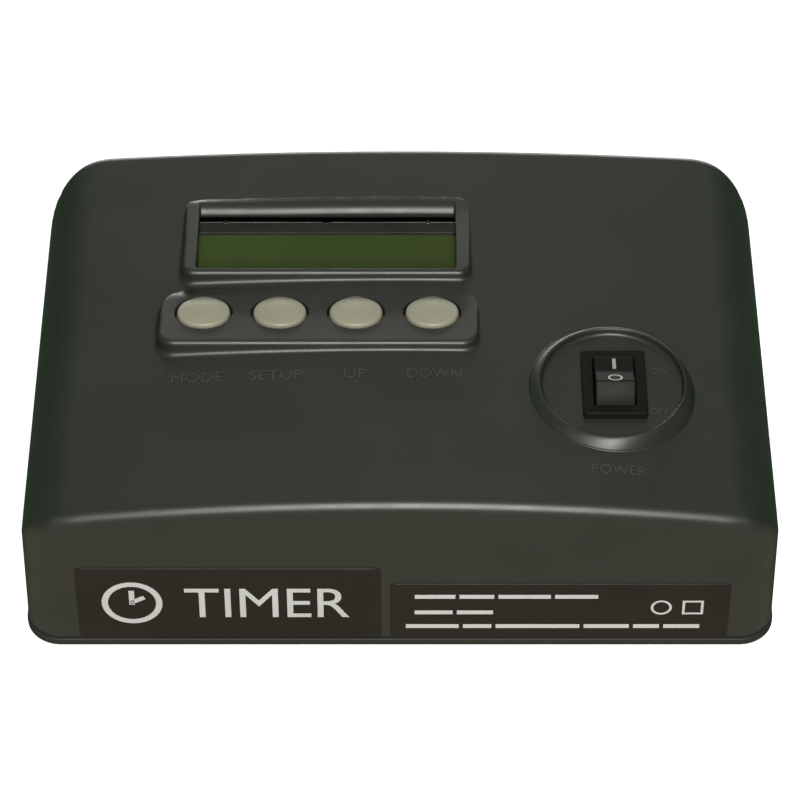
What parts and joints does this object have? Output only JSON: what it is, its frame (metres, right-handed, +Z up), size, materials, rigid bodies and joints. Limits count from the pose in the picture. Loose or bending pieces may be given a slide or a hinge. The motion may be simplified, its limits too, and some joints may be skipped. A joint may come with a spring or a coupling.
{
  "type": "enlarger timer",
  "caption": "Low plastic desktop timer box with an inset display window, a row of oval push keys and a ringed mains rocker switch on top.",
  "frame": {"origin": "middle of the footprint at the plane the feet stand on", "axes": "+X to the right along the front, +Y to the back, +Z up"},
  "size_m": [0.1798, 0.1266, 0.0563],
  "materials": {
    "case_plastic": "satin fine-textured dark grey moulding",
    "foot_rubber": "matt black",
    "screw_steel": "zinc plated",
    "label_film": "printed black film",
    "bezel_metal": "black painted sheet with worn bright edges",
    "display_glass": "olive reflective display glass, unlit",
    "backlight_plastic": "milky light guide",
    "board_laminate": "green solder mask on glass-fibre board",
    "black_plastic": "moulded black",
    "key_plastic": "satin warm light grey",
    "rocker_plastic": "black with moulded white signs",
    "contact_brass": "stamped",
    "core_steel": "varnished laminations",
    "winding_tape": "yellow polyester tape over the windings",
    "relay_plastic": "moulded blue",
    "capacitor_sleeve": "shrunk sleeve",
    "terminal_plastic": "moulded green",
    "ribbon_sleeve": "grey ribbed sleeve",
    "connector_plastic": "moulded black"
  },
  "bodies": {
    "case": {"top_shell": "case_plastic", "base_plate": "case_plastic", "foot_front_left": "foot_rubber", "foot_front_right": "foot_rubber", "foot_rear_left": "foot_rubber", "foot_rear_right": "foot_rubber", "case_screw_front_left": "screw_steel", "case_screw_front_right": "screw_steel", "case_screw_rear_left": "screw_steel", "case_screw_rear_right": "screw_steel", "front_badge": "label_film", "rating_label": "label_film", "display_bezel": "bezel_metal", "display_glass": "display_glass", "display_backlight": "backlight_plastic", "display_board": "board_laminate", "display_pins": "black_plastic", "display_screw_1": "screw_steel", "display_screw_2": "screw_steel", "display_screw_3": "screw_steel", "display_screw_4": "screw_steel", "key_switch_mode": "black_plastic", "key_switch_setup": "black_plastic", "key_switch_up": "black_plastic", "key_switch_down": "black_plastic", "key_board": "board_laminate", "key_screw_1": "screw_steel", "key_screw_2": "screw_steel", "rocker_housing": "rocker_plastic", "rocker_terminal_feed": "contact_brass", "rocker_terminal_load": "contact_brass", "main_board": "board_laminate", "transformer_core": "core_steel", "transformer_bobbin": "winding_tape", "relay": "relay_plastic", "storage_capacitor": "capacitor_sleeve", "controller_chip": "black_plastic", "supply_regulator": "black_plastic", "terminal_block": "terminal_plastic", "buzzer": "black_plastic", "ribbon_cable": "ribbon_sleeve", "inlet_body": "connector_plastic", "inlet_pin_line": "contact_brass", "inlet_pin_neutral": "contact_brass", "inlet_pin_earth": "contact_brass", "outlet_body": "connector_plastic", "fuse_holder": "connector_plastic"},
    "key_mode": {"key_cap_mode": "key_plastic", "key_plunger_mode": "black_plastic"},
    "key_setup": {"key_cap_setup": "key_plastic", "key_plunger_setup": "black_plastic"},
    "key_up": {"key_cap_up": "key_plastic", "key_plunger_up": "black_plastic"},
    "key_down": {"key_cap_down": "key_plastic", "key_plunger_down": "black_plastic"},
    "rocker": {"rocker_cap": "rocker_plastic"},
    "switch_lever": {"rocker_lever": "contact_brass"},
    "fuse_carrier": {"fuse_cap": "connector_plastic", "fuse_link": "screw_steel"}
  },
  "joints": [
    {"name": "key_mode_press", "type": "slide", "parent": "case", "child": "key_mode", "axis": [0, 0, -1], "range_m": [0, 0.0005], "stiffness_N_per_m": 3000, "springref_m": -0.0001},
    {"name": "key_setup_press", "type": "slide", "parent": "case", "child": "key_setup", "axis": [0, 0, -1], "range_m": [0, 0.0005], "stiffness_N_per_m": 3000, "springref_m": -0.0001},
    {"name": "key_up_press", "type": "slide", "parent": "case", "child": "key_up", "axis": [0, 0, -1], "range_m": [0, 0.0005], "stiffness_N_per_m": 3000, "springref_m": -0.0001},
    {"name": "key_down_press", "type": "slide", "parent": "case", "child": "key_down", "axis": [0, 0, -1], "range_m": [0, 0.0005], "stiffness_N_per_m": 3000, "springref_m": -0.0001},
    {"name": "rocker_tilt", "type": "hinge", "parent": "case", "child": "rocker", "pos_m": [0.051, -0.02315, 0.04965], "axis": [1, 0, 0], "range_deg": [0, 24]},
    {"name": "lever_tilt", "type": "hinge", "parent": "case", "child": "switch_lever", "pos_m": [0.051, -0.02315, 0.04245], "axis": [1, 0, 0], "range_deg": [-12.2, 0]},
    {"name": "fuse_twist", "type": "hinge", "parent": "case", "child": "fuse_carrier", "pos_m": [-0.044, 0.06, 0.026], "axis": [0, 1, 0], "range_deg": [0, 90]}
  ],
  "couplings": [
    {"joint": "lever_tilt", "follows": "rocker_tilt", "ratio": -0.5}
  ]
}
